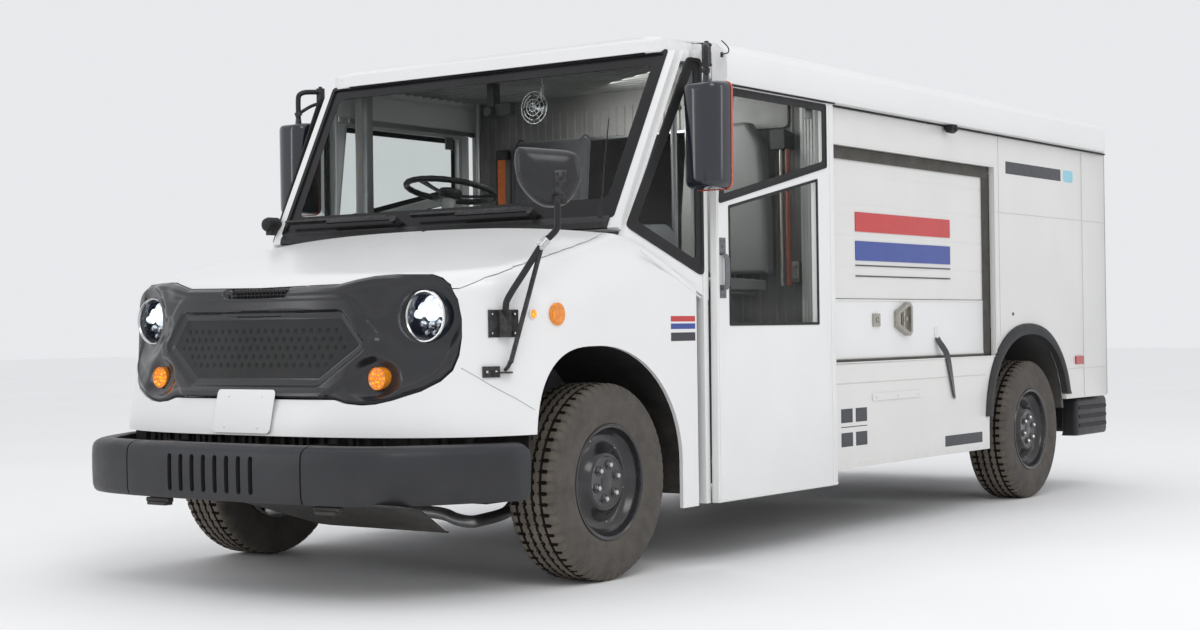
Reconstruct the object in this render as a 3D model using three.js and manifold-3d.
// Walk-in mail delivery truck, millimetres, +Z up. The front faces -Y and the truck's left side is +X.
// Lengths along the truck are stations: distances behind the front axle. The whole truck is then
// shifted so that the origin lies on the ground at the middle of its overall length.
import * as THREE from 'three';
import { mergeVertices } from 'three/addons/utils/BufferGeometryUtils.js';
import Module from 'manifold-3d';

const wasm = await Module();
wasm.setup();

// Overall
const WHEELBASE = 4000;
const FRONT_END = -1134;
const REAR_END = 5200;
const GAP = 2;
// Half width of the tools that cut right across the truck
const TOOL_HALF = 1100;

// Wheels
const TYRE_RADIUS = 380;
const TRACK_HALF = 895;
const BEAD_RADIUS = 214;
const RIM_RADIUS = 212;
const FLANGE_RADIUS = 222;

// Cargo body
const BODY_HALF = 1040;
const SKIN = 30;
const BODY_FRONT = 1655;
const BODY_REAR = 5050;
const SKIRT_Z = 310;
const REAR_SKIRT_Z = 531;
const WALL_TOP_Z = 2100;
const FLOOR_Z = 700;
const FLOOR_THICK = 40;
const CEILING_Z = 2140;
const BODY_INNER = 1008;
const FRAME_HIGH_Z = 2130;
const BULKHEAD_LOW = FLOOR_Z + 4;
const AISLE_HALF = 330;
const AISLE_TOP = 1900;
const BULKHEAD_FRONT = 1662;

// Wheel arches: each half is a superellipse above a spring line
const FRONT_ARCH = { y: -110, ahead: 375, behind: 555, spring: 430, rise: 473, blunt: 3.2, round: 2 };
const REAR_ARCH = { y: 3900, ahead: 528, behind: 528, spring: 430, rise: 488, blunt: 2.2, round: 2.2 };
const HOUSE_WALL = 25;
const HOUSE_INNER_X = 705;

// Cab
const DOOR_FRONT = 640;
const DOOR_REAR = 1643;
const DOOR_LOW = 250;
const DOOR_TOP = 1966;
const DOOR_INNER_X = 1052;
const DOOR_OUTER_X = 1085;
const SCREEN_LOW = { y: 165, z: 1407, half: 914 };
const SCREEN_HIGH = { y: 532, z: 2101, half: 937 };
const FRAME_TOP_Z = 2099;
const COWL_Y = 78;
const POST_INNER_X = 1012;
const POST_OUTER_X = 1048;
const POST_FRONT = 604;
const STEP = { front: 700, rear: 1600, inner: 740, outer: 1038, low: 380, top: 405 };

// Nose: plan outline is a superellipse whose foremost point moves back with height
const NOSE_POWER = 2.8;
const NOSE_ROOT_Y = -250;
const NOSE_FACE = [[560, -964], [600, -960], [650, -948], [711, -927], [800, -900], [900, -886],
  [1018, -879], [1141, -873], [1172, -862], [1250, -850], [1500, -850]];
const NOSE_LOW_Z = 588;
const NOSE_BACK_Y = 560;
const NOSE_WALL = 16;
const HOOD_HALF = 968;
const HOOD_LINE = [[-1000, 1120], [-860, 1160], [-800, 1182], [165, 1404], [700, 1420]];
const HOOD_CROWN = 50;
const ROLL = { start: 930, width: 115, power: 2.2, drop: 140 };
const HOOD_LOW_Z = 1120;
const HOOD_SEAM = 3;

// Side cargo door
const SIDE_DOOR = { front: 1710, rear: 3470, low: 797, high: 1797 };
const LEAF_INNER_X = 974;
const LEAF_OUTER_X = 1000;
const CURTAIN_TOP = 2110;
const BOTTOM_PANEL_TOP = 1090;

// Rear doors
const REAR_DOOR_HALF = 880;
const REAR_DOOR_LOW = 705;
const REAR_DOOR_TOP = 1900;
const REAR_FRAME_Y = 5005;

// Steering
const STEER_X = -450;
const STEER_HUB = { y: 785, z: 1615 };
const STEER_TILT = THREE.MathUtils.degToRad(12);
const RIM = { radius: 205, tube: 14 };

// Driver's seat
const SEAT_BASE_HALF = 190;
const CUSHION_HALF = 250;
const BACK_HALF = 235;

const FINISH = {
  white: [0xf3f3f1, 0.28, 0.0],
  shell: [0xefefec, 0.35, 0.0],
  charcoal: [0x37383c, 0.5, 0.0],
  panel: [0x2b2c2f, 0.6, 0.0],
  black: [0x17181a, 0.55, 0.0],
  glass: [0x4a5557, 0.05, 0.0],
  lens: [0xe8eef2, 0.05, 0.0],
  steel: [0x8d9092, 0.35, 0.9],
  chassis: [0x222325, 0.6, 0.4],
  floor: [0x8a8c8e, 0.5, 0.6],
  tyre: [0x55514c, 0.9, 0.0],
  wheel: [0x1c1c1e, 0.4, 0.5],
  fabric: [0x6a6d70, 0.95, 0.0],
  grey: [0xb9bcbe, 0.5, 0.0],
};

const truck = new THREE.Group();
truck.position.y = -(FRONT_END + REAR_END) / 2;

// ---- Shape helpers ----

// A closed geometry as a boolean-ready solid with its faces pointing out.
function solid(geometry) {
  const bare = new THREE.BufferGeometry();
  bare.setAttribute('position', geometry.getAttribute('position').clone());
  if (geometry.index) bare.setIndex(geometry.index.clone());
  const merged = mergeVertices(bare, 1e-3);
  const vertProperties = new Float32Array(merged.getAttribute('position').array);
  const triVerts = new Uint32Array(merged.index.array);
  if (signedVolume(vertProperties, triVerts) < 0) {
    for (let i = 0; i < triVerts.length; i += 3) {
      [triVerts[i], triVerts[i + 1]] = [triVerts[i + 1], triVerts[i]];
    }
  }
  return new wasm.Manifold(new wasm.Mesh({ numProp: 3, vertProperties, triVerts }));
}

function signedVolume(points, triangles) {
  const corner = [new THREE.Vector3(), new THREE.Vector3(), new THREE.Vector3()];
  let six = 0;
  for (let i = 0; i < triangles.length; i += 3) {
    corner.forEach((c, k) => c.fromArray(points, 3 * triangles[i + k]));
    six += corner[0].dot(corner[1].clone().cross(corner[2]));
  }
  return six;
}

function box(x0, x1, y0, y1, z0, z1) {
  const geometry = new THREE.BoxGeometry(x1 - x0, y1 - y0, z1 - z0);
  return solid(geometry.translate((x0 + x1) / 2, (y0 + y1) / 2, (z0 + z1) / 2));
}

function shapeOf(outline, holes = []) {
  const shape = new THREE.Shape(outline.map(([a, b]) => new THREE.Vector2(a, b)));
  shape.holes = holes.map((hole) => new THREE.Path(hole.map(([a, b]) => new THREE.Vector2(a, b))));
  return shape;
}

function extrude(outline, depth, holes) {
  return new THREE.ExtrudeGeometry(shapeOf(outline, holes), { depth, bevelEnabled: false });
}

const ACROSS = new THREE.Matrix4().set(0, 0, 1, 0, 1, 0, 0, 0, 0, 1, 0, 0, 0, 0, 0, 1);
const ALONG = new THREE.Matrix4().set(1, 0, 0, 0, 0, 0, -1, 0, 0, 1, 0, 0, 0, 0, 0, 1);

// Outline in (station, height), filled from x0 to x1.
function sidePrism(outline, x0, x1, holes) {
  return solid(extrude(outline, x1 - x0, holes).applyMatrix4(ACROSS).translate(x0, 0, 0));
}

// Outline in (x, height), filled from station y0 to y1.
function facePrism(outline, y0, y1, holes) {
  return solid(extrude(outline, y1 - y0, holes).applyMatrix4(ALONG).translate(0, y1, 0));
}

// Outline in (x, station), filled from z0 to z1.
function planPrism(outline, z0, z1, holes) {
  return solid(extrude(outline, z1 - z0, holes).translate(0, 0, z0));
}

// Outlines of equal count stacked at rising heights.
function stack(levels) {
  const flatten = (outline) => outline.map(([x, y]) => new THREE.Vector2(x, y));
  if (THREE.ShapeUtils.isClockWise(flatten(levels[0].outline))) {
    return stack(levels.map(({ z, outline }) => ({ z, outline: outline.slice().reverse() })));
  }
  const count = levels[0].outline.length;
  const points = levels.flatMap(({ z, outline }) => outline.flatMap(([x, y]) => [x, y, z]));
  const index = [];
  for (let k = 0; k + 1 < levels.length; k += 1) {
    for (let i = 0; i < count; i += 1) {
      const a = k * count + i;
      const b = k * count + ((i + 1) % count);
      index.push(a, b, b + count, a, b + count, a + count);
    }
  }
  const last = (levels.length - 1) * count;
  const cap = (level, offset, flip) => {
    THREE.ShapeUtils.triangulateShape(flatten(level.outline), []).forEach((corners) => {
      const face = corners.map((corner) => corner + offset);
      index.push(...(flip ? face.reverse() : face));
    });
  };
  cap(levels[0], 0, true);
  cap(levels[levels.length - 1], last, false);
  const geometry = new THREE.BufferGeometry();
  geometry.setAttribute('position', new THREE.Float32BufferAttribute(points, 3));
  geometry.setIndex(index);
  return solid(geometry);
}

// A closed profile of (radius, distance along the axis) turned about the X or Y axis.
function turned(profile, segments, axis = 'x') {
  const loop = profile.map(([r, a]) => new THREE.Vector2(r, a));
  if (profile[0][0] > 0) loop.push(loop[0].clone());
  const geometry = new THREE.LatheGeometry(loop, segments);
  if (axis === 'x') geometry.rotateZ(-Math.PI / 2);
  return solid(geometry);
}

// A round bar along straight runs with softened bends.
function tube(points, radius, sides = 8) {
  const corners = points.map((p) => new THREE.Vector3(...p));
  const middles = corners.slice(1).map((p, i) => p.clone().add(corners[i]).multiplyScalar(0.5));
  const stops = corners.flatMap((p, i) => (i < middles.length ? [p, middles[i]] : [p]));
  const spine = new THREE.CatmullRomCurve3(stops, false, 'catmullrom', 0.2);
  const ring = Array.from({ length: sides }, (_, i) => {
    const angle = (2 * Math.PI * i) / sides;
    return [radius * Math.cos(angle), radius * Math.sin(angle)];
  });
  const steps = middles.length === 1 ? 1 : 4 * middles.length;
  return solid(new THREE.ExtrudeGeometry(shapeOf(ring), { steps, extrudePath: spine }));
}

function join(...solids) {
  return solids.reduce((whole, next) => whole.add(next));
}

function cut(whole, ...tools) {
  return tools.reduce((rest, tool) => rest.subtract(tool), whole);
}

const mirrored = (shape) => shape.mirror([1, 0, 0]);
const largestBody = (shape) => shape.decompose().reduce((a, b) => (a.volume() > b.volume() ? a : b));

function place(name, shape, finish) {
  const found = shape.getMesh();
  const geometry = new THREE.BufferGeometry();
  const points = [];
  for (let i = 0; i < found.vertProperties.length; i += found.numProp) {
    points.push(found.vertProperties[i], found.vertProperties[i + 1], found.vertProperties[i + 2]);
  }
  geometry.setAttribute('position', new THREE.Float32BufferAttribute(points, 3));
  geometry.setIndex(Array.from(found.triVerts));
  const [color, roughness, metalness] = FINISH[finish];
  const mesh = new THREE.Mesh(geometry, new THREE.MeshStandardMaterial({ color, roughness, metalness }));
  mesh.name = name;
  truck.add(mesh);
}

// The same piece on the left (+X) and, mirrored, on the right.
function placePair(name, shape, finish) {
  place(`left_${name}`, shape, finish);
  place(`right_${name}`, mirrored(shape), finish);
}

function between(table, at) {
  const k = Math.max(1, table.findIndex(([key]) => key >= at));
  const [a, from] = table[k - 1];
  const [b, to] = table[k];
  return THREE.MathUtils.mapLinear(THREE.MathUtils.clamp(at, a, b), a, b, from, to);
}

// ---- Shared outlines ----

// Arch outline from its front foot, over the top, to its rear foot, grown by an offset.
function archLine(arch, grow, frontFoot, rearFoot, steps = 18) {
  const line = [[arch.y - arch.ahead - grow, frontFoot]];
  const footAt = (angle) => (angle > Math.PI / 2 ? frontFoot : rearFoot);
  for (let i = 0; i <= steps; i += 1) {
    const angle = Math.PI * (1 - i / steps);
    const [bend, half] = angle > Math.PI / 2 ? [arch.blunt, arch.ahead] : [arch.round, arch.behind];
    const power = 2 / bend;
    const reach = half + grow;
    const across = Math.sign(Math.cos(angle)) * Math.abs(Math.cos(angle)) ** power * reach;
    const height = arch.spring + Math.abs(Math.sin(angle)) ** power * (arch.rise + grow);
    if (height > footAt(angle) + 1) line.push([arch.y + across, height]);
  }
  line.push([arch.y + arch.behind + grow, rearFoot]);
  return line;
}

const archHole = (arch, grow, x0, x1) => sidePrism(archLine(arch, grow, 100, 100), x0, x1);

// ---- Nose and hood ----

// Plan outline of the nose at one height: round the front, then straight back to the doors.
function noseOutline(z, inset, back) {
  const half = BODY_HALF - inset;
  const depth = NOSE_ROOT_Y - between(NOSE_FACE, z) - inset;
  const steps = 22;
  const outline = [[half, back]];
  for (let i = 0; i <= steps; i += 1) {
    const angle = (Math.PI * i) / steps;
    const side = Math.sign(Math.cos(angle)) * Math.abs(Math.cos(angle)) ** (2 / NOSE_POWER);
    outline.push([half * side, NOSE_ROOT_Y - depth * Math.sin(angle) ** (2 / NOSE_POWER)]);
  }
  outline.push([-half, back]);
  return outline;
}

// Everything under the hood line: a crowned surface that rolls down over the fenders.
function underHood(inset) {
  const across = [0, 420, 750, 930, 985, 1020, 1045].flatMap((x) => (x ? [-x, x] : [0]));
  across.sort((a, b) => a - b);
  const stations = [-1000, -860, -800, 165, 700];
  const roll = (x) => (Math.max(0, Math.abs(x) - ROLL.start) / ROLL.width) ** ROLL.power * ROLL.drop;
  const height = (x, y) => between(HOOD_LINE, y) - HOOD_CROWN * Math.abs(x / 960) ** 2.5 - roll(x) - inset;
  const ribs = stations.map((y) => across.map((x) => [x, y, height(x, y)]));
  const floor = stations.map((y) => across.map((x) => [x, y, 0]));
  const points = ribs.flat(2).concat(floor.flat(2));
  const columns = across.length;
  const under = stations.length * columns;
  const index = [];
  const quad = (a, b, c, d) => index.push(a, b, c, a, c, d);
  for (let j = 0; j + 1 < stations.length; j += 1) {
    for (let i = 0; i + 1 < columns; i += 1) {
      const a = j * columns + i;
      quad(a, a + 1, a + columns + 1, a + columns);
      quad(under + a, under + a + columns, under + a + columns + 1, under + a + 1);
    }
    const low = j * columns;
    const high = low + columns - 1;
    quad(low, low + columns, under + low + columns, under + low);
    quad(high, under + high, under + high + columns, high + columns);
  }
  const lastRow = (stations.length - 1) * columns;
  for (let i = 0; i + 1 < columns; i += 1) {
    quad(i, under + i, under + i + 1, i + 1);
    quad(lastRow + i, lastRow + i + 1, under + lastRow + i + 1, under + lastRow + i);
  }
  const geometry = new THREE.BufferGeometry();
  geometry.setAttribute('position', new THREE.Float32BufferAttribute(points, 3));
  geometry.setIndex(index);
  return solid(geometry);
}

function noseBlock(inset, low, back) {
  const heights = [low, 650, 720, 820, 950, 1141, 1200, 1420].filter((z, i) => i === 0 || z > low);
  const walls = stack(heights.map((z) => ({ z, outline: noseOutline(z, inset, back) })));
  return walls.intersect(underHood(inset));
}

// Half outline of the grille mask in (x, height), from the bottom centre round to the top centre.
const MASK_HALF = [[0, 725], [419, 724], [467, 711], [536, 705], [594, 709], [655, 723], [748, 754],
  [807, 789], [840, 827], [856, 880], [862, 940], [861, 1005], [849, 1077], [822, 1131], [785, 1156],
  [740, 1169], [600, 1172], [548, 1170], [478, 1158], [394, 1141], [0, 1135]];
const bothHalves = (half) => half.concat(half.slice(1, -1).reverse().map(([x, z]) => [-x, z]));
const MASK_OUTLINE = bothHalves(MASK_HALF);
const INSERT_OUTLINE = bothHalves([[0, 799], [325, 799], [490, 919], [409, 1018], [0, 1018]]);
// Stations between which the mask and its opening are cut
const MASK_ZONE = [-1100, -300];
const MASK_GAP = 3;
const MASK_MIDDLE_Z = 940;
const hoodPlan = (grow) => [[-HOOD_HALF - grow, COWL_Y + grow], [-HOOD_HALF - grow, MASK_ZONE[0]],
  [HOOD_HALF + grow, MASK_ZONE[0]], [HOOD_HALF + grow, COWL_Y + grow]];
const scaled = (outline, grow) => outline.map(([x, z]) => [
  x + Math.sign(x) * grow,
  z + Math.sign(z - MASK_MIDDLE_Z) * grow,
]);

function buildNose() {
  const outer = noseBlock(0, 244, NOSE_BACK_Y);
  const inner = noseBlock(NOSE_WALL, 200, NOSE_BACK_Y + 20);
  const shell = outer.subtract(inner);
  const chin = box(-TOOL_HALF, TOOL_HALF, -1200, MASK_ZONE[1], 0, NOSE_LOW_Z);
  const fenderFoot = join(chin, archHole(FRONT_ARCH, 0, -TOOL_HALF, TOOL_HALF));
  const hoodZone = planPrism(hoodPlan(0), HOOD_LOW_Z, 1500);
  const maskZone = facePrism(MASK_OUTLINE, ...MASK_ZONE);
  const maskHole = facePrism(scaled(MASK_OUTLINE, MASK_GAP), ...MASK_ZONE);
  const quarterCut = sidePrism([[20, 1500], [60, 1312], [640, 1072], [640, 1500]], -TOOL_HALF, TOOL_HALF);
  const hood = cut(shell.intersect(hoodZone), maskHole);
  const hoodHole = planPrism(hoodPlan(HOOD_SEAM), HOOD_LOW_Z - HOOD_SEAM, 1500);
  const nose = cut(shell, fenderFoot, hoodHole, maskHole, quarterCut);
  place('nose_shell', largestBody(nose), 'shell');
  place('hood', largestBody(hood), 'shell');
  buildMask(maskZone);
}

const LAMP = { x: 726, y: -715, z: 1021, radius: 92 };
const SIGNAL = { x: 580, z: 798, radius: 42 };

function buildMask(zone) {
  const slab = noseBlock(2, 600, 0).subtract(noseBlock(26, 590, 20)).intersect(zone);
  const drill = (radius, sides) => turned([[0, -400], [radius, -400], [radius, 400], [0, 400]], sides, 'y');
  const lampTool = drill(LAMP.radius + 6, 24);
  const signalTool = drill(SIGNAL.radius, 16);
  const holes = [LAMP.x, -LAMP.x].map((x) => lampTool.translate(x, LAMP.y, LAMP.z));
  const signals = [SIGNAL.x, -SIGNAL.x].map((x) => signalTool.translate(x, LAMP.y, SIGNAL.z));
  const insert = facePrism(scaled(INSERT_OUTLINE, GAP), ...MASK_ZONE);
  place('grille_mask', cut(slab, ...holes, ...signals, insert), 'charcoal');
  const sheet = noseBlock(12, 600, 0).subtract(noseBlock(24, 590, 20));
  place('grille_panel', sheet.intersect(facePrism(INSERT_OUTLINE, ...MASK_ZONE)), 'panel');
  const lamp = turned([[0, -46], [60, -38], [LAMP.radius, -12], [LAMP.radius, 60], [0, 90]], 24, 'y');
  placePair('headlight', lamp.translate(LAMP.x, LAMP.y, LAMP.z), 'lens');
}

// ---- Cab ----

// The windscreen plane: x across, s up the glass from its lower edge, t out of its face.
const RING_BACK = -34;
const RING_FACE = 2;
const GLASS_BACK = -14;
const GLASS_FACE = -6;
const screenRise = new THREE.Vector3(0, SCREEN_HIGH.y - SCREEN_LOW.y, SCREEN_HIGH.z - SCREEN_LOW.z);
const SCREEN_LENGTH = screenRise.length();
const screenMatrix = new THREE.Matrix4().makeBasis(
  new THREE.Vector3(1, 0, 0),
  screenRise.clone().normalize(),
  new THREE.Vector3(1, 0, 0).cross(screenRise.clone().normalize()),
).setPosition(0, SCREEN_LOW.y, SCREEN_LOW.z);

function screenSlab(outline, t0, t1, holes) {
  const geometry = extrude(outline, t1 - t0, holes).translate(0, 0, t0);
  return solid(geometry.applyMatrix4(screenMatrix));
}

function screenTrapezoid(grow, low = -grow, high = SCREEN_LENGTH + grow) {
  const a = SCREEN_LOW.half + grow;
  const b = SCREEN_HIGH.half + grow;
  return [[-a, low], [a, low], [b, high], [-b, high]];
}

// Six-faced block from a lower and an upper quadrilateral of [x, station, z] corners.
function wedge(lower, upper) {
  const points = lower.concat(upper).flat();
  const sides = [0, 1, 2, 3].flatMap((i) => {
    const j = (i + 1) % 4;
    return [i, j, j + 4, i, j + 4, i + 4];
  });
  const geometry = new THREE.BufferGeometry();
  geometry.setAttribute('position', new THREE.Float32BufferAttribute(points, 3));
  geometry.setIndex([2, 1, 0, 3, 2, 0, 4, 5, 6, 4, 6, 7, ...sides]);
  return solid(geometry);
}


const QUARTER_PANE = [[178, 1372], [536, 2052], [598, 2052], [598, 1190]];
// The side of the cab between windscreen pillar and door post, narrowing towards the front.
function quarterWall(x, thick) {
  const across = ([y, z, flare], [y2, z2, flare2]) => [
    [x + flare - thick, y, z], [x + flare, y, z], [x + flare2, y2, z2], [x + flare2 - thick, y2, z2]];
  const lower = across([150, 1325, -68], [640, 1080, 8]);
  const upper = across([560, FRAME_TOP_Z, -45], [640, FRAME_TOP_Z, 8]);
  return wedge(lower, upper);
}

function buildCabFrame() {
  const edge = screenTrapezoid(40, -50, SCREEN_LENGTH + 20);
  const ring = screenSlab(edge, RING_BACK, RING_FACE, [screenTrapezoid(-8)]);
  const side = cut(quarterWall(1040, SKIN), sidePrism(QUARTER_PANE, 900, 1100));
  const post = box(POST_INNER_X, POST_OUTER_X, POST_FRONT, 636, DOOR_LOW, FRAME_TOP_Z);
  const beam = box(POST_INNER_X, POST_OUTER_X, POST_FRONT, BODY_FRONT - GAP, 1990, FRAME_TOP_Z);
  const header = box(-1020, 1020, 560, 625, 2060, FRAME_TOP_Z);
  const flank = join(side, post, beam);
  const whole = join(ring, header, flank, mirrored(flank));
  place('cab_frame', whole.intersect(box(-1100, 1100, 60, 1700, 240, FRAME_TOP_Z)), 'white');
  place('windshield', screenSlab(screenTrapezoid(-12), GLASS_BACK, GLASS_FACE), 'glass');
  const paneLine = [[216, 1362], [560, 2044], [594, 2044], [594, 1202]];
  const pane = quarterWall(1026, 8).intersect(sidePrism(paneLine, 900, 1100));
  placePair('quarter_glass', pane, 'glass');
}

const UPPER_WINDOW = [[676, 1484], [1564, 1682], [1564, 1950], [738, 1950]];
const LOWER_WINDOW = [[743, 975], [1488, 975], [1488, 1618], [743, 1466]];

function buildCabDoors() {
  const outline = [[DOOR_FRONT, DOOR_LOW], [DOOR_REAR, DOOR_LOW], [DOOR_REAR, DOOR_TOP], [655, DOOR_TOP]];
  const leaf = sidePrism(outline, DOOR_INNER_X, DOOR_OUTER_X, [UPPER_WINDOW, LOWER_WINDOW]);
  placePair('cab_door', leaf, 'white');
  const pane = [[665, 960], [1500, 960], [1580, 1600], [1580, 1955], [725, 1955], [665, 1480]];
  placePair('door_glass', sidePrism(pane, DOOR_INNER_X - 7, DOOR_INNER_X - 1), 'glass');
}

function buildCabInterior() {
  const deck = box(-755, 755, 490, BODY_FRONT, FLOOR_Z - FLOOR_THICK, FLOOR_Z);
  const firewall = box(-985, 985, 480, 500, 656, 1180);
  const riser = box(STEP.inner, STEP.inner + 15, STEP.front, STEP.rear, STEP.low + 10, FLOOR_Z);
  const tread = box(STEP.inner, STEP.outer, STEP.front, STEP.rear, STEP.low, STEP.top);
  const step = join(riser, tread);
  place('cab_floor', join(deck, firewall, step, mirrored(step)), 'floor');
  const shelf = [[190, 1290], [190, 1376], [560, 1392], [640, 1350], [640, 1230], [520, 1182], [380, 1182]];
  const arm = box(STEER_X - 40, STEER_X + 40, 600, 745, 1262, 1310);
  const below = (drop) => [
    STEER_X,
    STEER_HUB.y - drop * Math.sin(STEER_TILT),
    STEER_HUB.z - drop * Math.cos(STEER_TILT),
  ];
  const column = tube([below(340), below(42)], 32, 12);
  place('dashboard', join(sidePrism(shelf, -900, 900), arm, column), 'grey');
  buildSteeringWheel();
  buildSeat();
}

function buildSteeringWheel() {
  const rim = new THREE.LatheGeometry(
    Array.from({ length: 9 }, (_, i) => {
      const angle = (2 * Math.PI * i) / 8;
      return new THREE.Vector2(RIM.radius + RIM.tube * Math.cos(angle), RIM.tube * Math.sin(angle));
    }), 32).rotateX(Math.PI / 2);
  const hub = new THREE.CylinderGeometry(55, 45, 40, 16).rotateX(Math.PI / 2).translate(0, 0, -18);
  const spokes = [0, 120, 240].map((angle) => new THREE.BoxGeometry(175, 34, 10).translate(110, 0, -8)
    .rotateZ(THREE.MathUtils.degToRad(angle - 90)));
  const wheel = join(solid(rim), solid(hub), ...spokes.map(solid));
  const tilt = THREE.MathUtils.radToDeg(STEER_TILT);
  place('steering_wheel', wheel.rotate([-tilt, 0, 0]).translate(STEER_X, STEER_HUB.y, STEER_HUB.z), 'black');
}

function buildSeat() {
  const base = box(STEER_X - SEAT_BASE_HALF, STEER_X + SEAT_BASE_HALF, 1130, 1470, FLOOR_Z + 0.5, 1086);
  place('seat_base', base, 'black');
  const cushion = [[1050, 1100], [1520, 1090], [1520, 1175], [1100, 1210], [1050, 1185]];
  place('seat_cushion', sidePrism(cushion, STEER_X - CUSHION_HALF, STEER_X + CUSHION_HALF), 'fabric');
  const back = [[1450, 1190], [1525, 1182], [1610, 1900], [1560, 1925], [1525, 1900]];
  place('seat_back', sidePrism(back, STEER_X - BACK_HALF, STEER_X + BACK_HALF), 'fabric');
}

function buildPedals() {
  const lever = (x, wide) => join(
    box(x - wide / 2, x + wide / 2, 560, 572, 745, 745 + 1.3 * wide),
    box(x - 8, x + 8, 552, 566, 790, 1120),
  );
  place('brake_pedal', lever(STEER_X, 80), 'black');
  place('accelerator_pedal', lever(STEER_X - 130, 60), 'black');
}

// ---- Cargo body ----

function sideWall(hasDoor) {
  const arch = archLine(REAR_ARCH, 0, SKIRT_Z, REAR_SKIRT_Z);
  const outline = [[BODY_FRONT, SKIRT_Z], ...arch, [BODY_REAR, REAR_SKIRT_Z], [BODY_REAR, WALL_TOP_Z],
    [BODY_FRONT, WALL_TOP_Z]];
  const { front, rear, low, high } = SIDE_DOOR;
  const hole = [[front, low], [rear, low], [rear, high], [front, high]];
  return sidePrism(outline, BODY_HALF - SKIN, BODY_HALF, hasDoor ? [hole] : []);
}

function buildCargoBody() {
  place('left_side_panel', sideWall(true), 'white');
  place('right_side_panel', mirrored(sideWall(false)), 'white');
  const reach = REAR_ARCH.ahead + HOUSE_WALL + GAP;
  const well = box(HOUSE_INNER_X - GAP, TOOL_HALF, REAR_ARCH.y - reach, REAR_ARCH.y + reach, 600, 800);
  const deckRear = REAR_FRAME_Y - 3;
  const deck = box(-BODY_INNER, BODY_INNER, BODY_FRONT + GAP, deckRear, FLOOR_Z - FLOOR_THICK, FLOOR_Z);
  place('cargo_floor', cut(deck, well, mirrored(well)), 'floor');
  const band = sidePrism(archLine(REAR_ARCH, HOUSE_WALL, 480, 480), HOUSE_INNER_X, BODY_INNER);
  const inside = archHole(REAR_ARCH, 0, HOUSE_INNER_X + 15, TOOL_HALF);
  placePair('wheelhouse', band.subtract(inside), 'steel');
  const frameOuter = [[-BODY_INNER, REAR_SKIRT_Z], [BODY_INNER, REAR_SKIRT_Z], [BODY_INNER, FRAME_HIGH_Z],
    [-BODY_INNER, FRAME_HIGH_Z]];
  const doorway = [[-REAR_DOOR_HALF, REAR_DOOR_LOW], [REAR_DOOR_HALF, REAR_DOOR_LOW],
    [REAR_DOOR_HALF, REAR_DOOR_TOP], [-REAR_DOOR_HALF, REAR_DOOR_TOP]];
  place('rear_frame', facePrism(frameOuter, REAR_FRAME_Y, BODY_REAR, [doorway]), 'white');
  const leaf = box(3, REAR_DOOR_HALF - 3, 5010, 5046, REAR_DOOR_LOW + 5, REAR_DOOR_TOP - 5);
  place('rear_left_door', leaf, 'white');
  place('rear_right_door', mirrored(leaf), 'white');
  const wall = [[-BODY_INNER, BULKHEAD_LOW], [-AISLE_HALF, BULKHEAD_LOW], [-AISLE_HALF, AISLE_TOP],
    [AISLE_HALF, AISLE_TOP], [AISLE_HALF, BULKHEAD_LOW], [BODY_INNER, BULKHEAD_LOW],
    [BODY_INNER, FRAME_HIGH_Z], [-BODY_INNER, FRAME_HIGH_Z]];
  place('bulkhead', facePrism(wall, BULKHEAD_FRONT, BULKHEAD_FRONT + 26), 'floor');
}

function roofSection() {
  const half = [[0, 2180], [620, 2176], [900, 2166], [1020, 2154], [1076, 2132], [1104, 2096],
    [1112, 2050], [1112, 1992], [1102, 1972], [1052, 1972], [1052, 2118], [1036, CEILING_Z], [0, CEILING_Z]];
  return half.concat(half.slice(1, -1).reverse().map(([x, z]) => [-x, z]));
}

function buildRoof() {
  const corner = (cx, cy, radius, from, to) => Array.from({ length: 7 }, (_, i) => {
    const angle = THREE.MathUtils.degToRad(from + ((to - from) * i) / 6);
    return [cx + radius * Math.cos(angle), cy + radius * Math.sin(angle)];
  });
  const rightSide = [...corner(860, 640, 125, -90, -15), [985, 655], [1112, 706],
    ...corner(892, 4846, 220, 0, 90)];
  const plan = rightSide.concat(rightSide.slice().reverse().map(([x, y]) => [-x, y]));
  const front = [[500, 2101], [515, 2101], [522, 2150], [550, 2172], [600, 2182], [5100, 2190], [5100, 1900],
    [500, 1900]];
  const crust = facePrism(roofSection(), 500, 5100);
  const caps = join(
    box(-1052, 1052, 500, 552, 2101, 2150),
    box(-1052, 1052, 5052, 5100, 1972, 2150),
  );
  const trimmed = join(crust, caps).intersect(planPrism(plan, 1900, 2300));
  place('roof_cap', trimmed.intersect(sidePrism(front, -1200, 1200)), 'shell');
}

function buildSideDoor() {
  const { front, rear } = SIDE_DOOR;
  const leaf = (low, high, inner, outer) => box(inner, outer, front - 12, rear + 12, low, high);
  place('side_door_bottom_panel', leaf(790, BOTTOM_PANEL_TOP, LEAF_INNER_X - 2, LEAF_OUTER_X), 'white');
  const curtain = leaf(BOTTOM_PANEL_TOP + 3, CURTAIN_TOP, LEAF_INNER_X, LEAF_OUTER_X - 3);
  place('side_door_curtain', curtain, 'white');
  const drum = turned([[0, 0], [60, 0], [60, rear - front], [0, rear - front]], 20, 'y');
  place('side_door_drum', drum.translate(890, front, 2040), 'steel');
  const grip = [[2375, 958], [2375, 1032], [2500, 1078], [2522, 1060], [2522, 930], [2500, 912]];
  place('side_door_latch', sidePrism(grip, LEAF_OUTER_X + 1, 1030), 'steel');
}

// ---- Chassis ----

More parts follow.
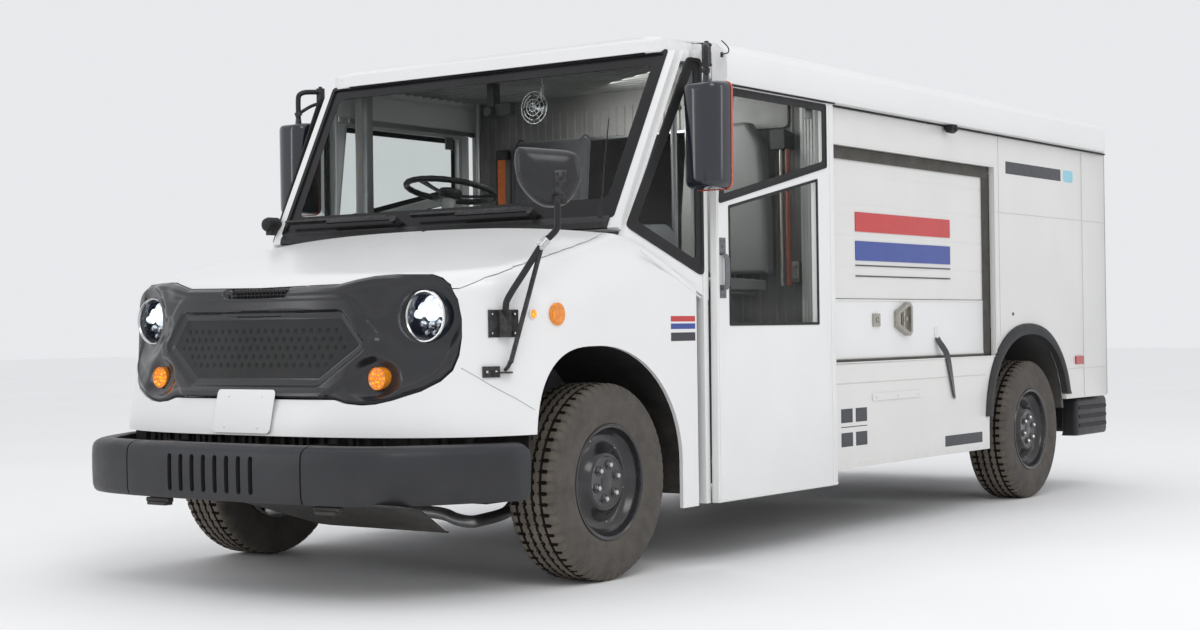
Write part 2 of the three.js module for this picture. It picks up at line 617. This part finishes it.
function buildChassis() {
  const rail = box(340, 420, -890, 4950, 520, 650);
  const horn = box(345, 415, -1035, -860, 380, 560);
  const lowerArm = box(400, 690, -60, 60, 290, 325);
  const upperArm = box(400, 690, -45, 45, 470, 495);
  const half = join(rail, horn, lowerArm, upperArm);
  const crossings = [-880, -420, 560, 3320, 4500, 4870].map((y) => box(-345, 345, y, y + 70, 535, 640));
  const cradle = box(-480, 480, -110, 110, 280, 560);
  place('chassis_frame', join(half, mirrored(half), cradle, ...crossings), 'chassis');
  const pack = [[-740, 300], [-715, 280], [715, 280], [740, 300], [740, 495], [715, 515], [-715, 515],
    [-740, 495]];
  place('battery_pack', facePrism(pack, 645, 3300), 'chassis');
  const end = [[60, 260], [60, 800], [160, 800], [160, 826], [66, 826], [66, 920], [0, 920]];
  const otherEnd = end.slice().reverse().map(([r, x]) => [r, -x]);
  const axle = turned([...otherEnd, [150, -210], [150, 210], ...end], 16);
  const spring = [[3440, 500], [3700, 462], [4000, 446], [4300, 462], [4560, 500], [4560, 478], [4300, 440],
    [4000, 420], [3700, 440], [3440, 478]];
  const leaf = sidePrism(spring, 500, 575);
  place('rear_axle', join(axle.translate(0, WHEELBASE, TYRE_RADIUS), leaf, mirrored(leaf)), 'chassis');
  const bar = [[-560, -300, 300], [-540, -520, 300], [-440, -640, 330], [440, -640, 330], [540, -520, 300],
    [560, -300, 300]];
  place('stabiliser_bar', tube(bar, 16, 8).translate(0, 0, 60), 'steel');
}

function buildKnuckles() {
  const profile = [[0, -190], [52, -190], [52, -100], [165, -100], [165, -72], [68, -72], [68, 26], [0, 26]];
  placePair('knuckle', turned(profile, 16).translate(TRACK_HALF, 0, TYRE_RADIUS), 'chassis');
}

function buildWheels() {
  const tyre = turned([[BEAD_RADIUS, -94], [250, -113], [305, -117.5], [356, -111], [TYRE_RADIUS, -84],
    [TYRE_RADIUS, 84], [356, 111], [305, 117.5], [250, 113], [BEAD_RADIUS, 94]], 36);
  const wheel = turned([[0, 30], [75, 30], [112, 20], [150, -22], [192, -17], [204, -32], [204, -104],
    [FLANGE_RADIUS, -108], [FLANGE_RADIUS, -104], [RIM_RADIUS, -101], [RIM_RADIUS, 101],
    [FLANGE_RADIUS, 104], [FLANGE_RADIUS, 108], [206, 106], [203, 6], [186, -1], [155, -5], [120, 38],
    [88, 46], [0, 46]], 24);
  [['front', 0], ['rear', WHEELBASE]].forEach(([end, y]) => {
    const at = (shape) => shape.translate(TRACK_HALF, y, TYRE_RADIUS);
    place(`${end}_left_tyre`, at(tyre), 'tyre');
    place(`${end}_left_wheel`, at(wheel), 'wheel');
    place(`${end}_right_tyre`, mirrored(at(tyre)), 'tyre');
    place(`${end}_right_wheel`, mirrored(at(wheel)), 'wheel');
  });
}

function buildLiners() {
  const outer = sidePrism(archLine(FRONT_ARCH, 12, 500, 300), 560, 1018);
  const inner = archHole(FRONT_ARCH, 2, 500, 1100);
  const nose = noseBlock(NOSE_WALL + 6, 240, 470);
  const open = cut(outer, inner);
  placePair('front_liner', largestBody(open.intersect(nose)), 'black');
}

// ---- Bumpers ----

const BUMPER_HALF = [[0, FRONT_END], [300, -1130], [480, -1116], [645, -1087], [779, -1024], [880, -909],
  [943, -809], [1015, -690], [1043, -624], [1050, -555]];

const BUMPER_THICK = 72;

// The bumper's closed plan ring, pulled in from its outer face by an inset.
function bumperRing(inset, thick) {
  const normals = BUMPER_HALF.map((p, i) => {
    const a = BUMPER_HALF[Math.max(0, i - 1)];
    const b = BUMPER_HALF[Math.min(BUMPER_HALF.length - 1, i + 1)];
    const length = Math.hypot(b[0] - a[0], b[1] - a[1]);
    return i === 0 ? [0, -1] : [(b[1] - a[1]) / length, -(b[0] - a[0]) / length];
  });
  const offset = (by) => BUMPER_HALF.map(([x, y], i) => [x - normals[i][0] * by, y - normals[i][1] * by]);
  const face = offset(inset);
  const back = offset(thick);
  const left = face.concat(back.slice().reverse());
  const mirror = (line) => line.slice(1).reverse().map(([x, y]) => [-x, y]);
  return mirror(face).concat(face, back.slice().reverse(), mirror(back).reverse());
}

function buildBumpers() {
  const levels = [[357, 14], [372, 0], [540, 0], [565, 26]];
  const rings = levels.map(([z, inset]) => ({ z, outline: bumperRing(inset, BUMPER_THICK) }));
  place('front_bumper', stack(rings), 'charcoal');
  const half = [[0, 5070], [900, 5070], [900, 4665], [1003, 4665], [1003, 5140], [950, REAR_END],
    [0, REAR_END]];
  place('rear_bumper', planPrism(bothHalves(half), 305, 525), 'black');
}

// ---- Mirrors and wipers ----

function buildMirrors() {
  const rounded = [[1046, 458], [1060, 446], [1220, 446], [1235, 458], [1228, 540], [1200, 556], [1080, 556],
    [1053, 540]];
  const [middleX, middleY] = [1140, 500];
  const pinch = (by) => rounded.map(([x, y]) => [middleX + (x - middleX) * by, middleY + (y - middleY) * by]);
  const levels = [[1520, 0.8], [1545, 1], [1930, 1], [1954, 0.82]];
  const head = stack(levels.map(([z, by]) => ({ z, outline: pinch(by) })));
  const arm = tube([[middleX, middleY, 1940], [middleX, middleY, 2068], [1086, 590, 2085]], 13, 8);
  const pivot = planPrism([[1072, 578], [1098, 578], [1098, 604], [1072, 604]], 2050, 2120);
  placePair('door_mirror', join(head, arm, pivot), 'black');
  buildCrossViewMirror();
}

const CROSS = { x: 1082, y: -477, z: 1517 };

// Fender mirror: a dished head on a bent mast, with a bracket and a braced foot on the fender.
function buildCrossViewMirror() {
  const profile = [[0, -8], [116, -8], [120, 0], [110, 22], [70, 42], [0, 50]];
  const dish = turned(profile, 20, 'y').rotate([0, 0, 220]);
  place('cross_view_mirror', dish.translate(CROSS.x, CROSS.y, CROSS.z), 'black');
  const mast = tube([[1148, -513, 1500], [1148, -509, 1415], [1135, -480, 1330], [1090, -519, 1277],
    [1012, -622, 1085], [988, -602, 1010]], 12, 8);
  const slab = (front, rear, out, z0, z1) => {
    const plan = [front, [front[0] + out[0], front[1] + out[1]], [rear[0] + out[0], rear[1] + out[1]], rear];
    return wedge(plan.map((corner) => [...corner, z0]), plan.map((corner) => [...corner, z1]));
  };
  const bracket = slab([925, -625], [975, -549], [45, -28], 939, 1040);
  const foot = slab([915, -650], [975, -560], [26, -16], 802, 838);
  const strut = tube([[1086, -524, 1268], [1000, -600, 850], [978, -612, 820]], 9, 8);
  place('cross_view_arm', cut(join(mast, bracket, foot, strut), noseBlock(-1, 500, NOSE_BACK_Y)), 'black');
}

// Parked along the foot of the glass: a pivot, an arm and a blade, standing off the screen.
function wiper(pivotX, reach) {
  const pivot = new THREE.CylinderGeometry(16, 18, 42, 12).rotateX(Math.PI / 2).translate(pivotX, 22, 28);
  const arm = new THREE.BoxGeometry(reach * 0.62, 18, 10).translate(pivotX - reach * 0.31, 30, 42);
  const blade = new THREE.BoxGeometry(reach * 0.95, 10, 24).translate(pivotX - reach * 0.55, 41, 34);
  return join(...[pivot, arm, blade].map((part) => solid(part.applyMatrix4(screenMatrix))));
}

function buildWipers() {
  place('left_wiper', wiper(520, 640), 'black');
  place('right_wiper', wiper(-220, 640), 'black');
}

buildNose();
buildCabFrame();
buildCabDoors();
buildCabInterior();
buildPedals();
buildCargoBody();
buildRoof();
buildSideDoor();
buildChassis();
buildKnuckles();
buildWheels();
buildLiners();
buildBumpers();
buildMirrors();
buildWipers();

export default truck;
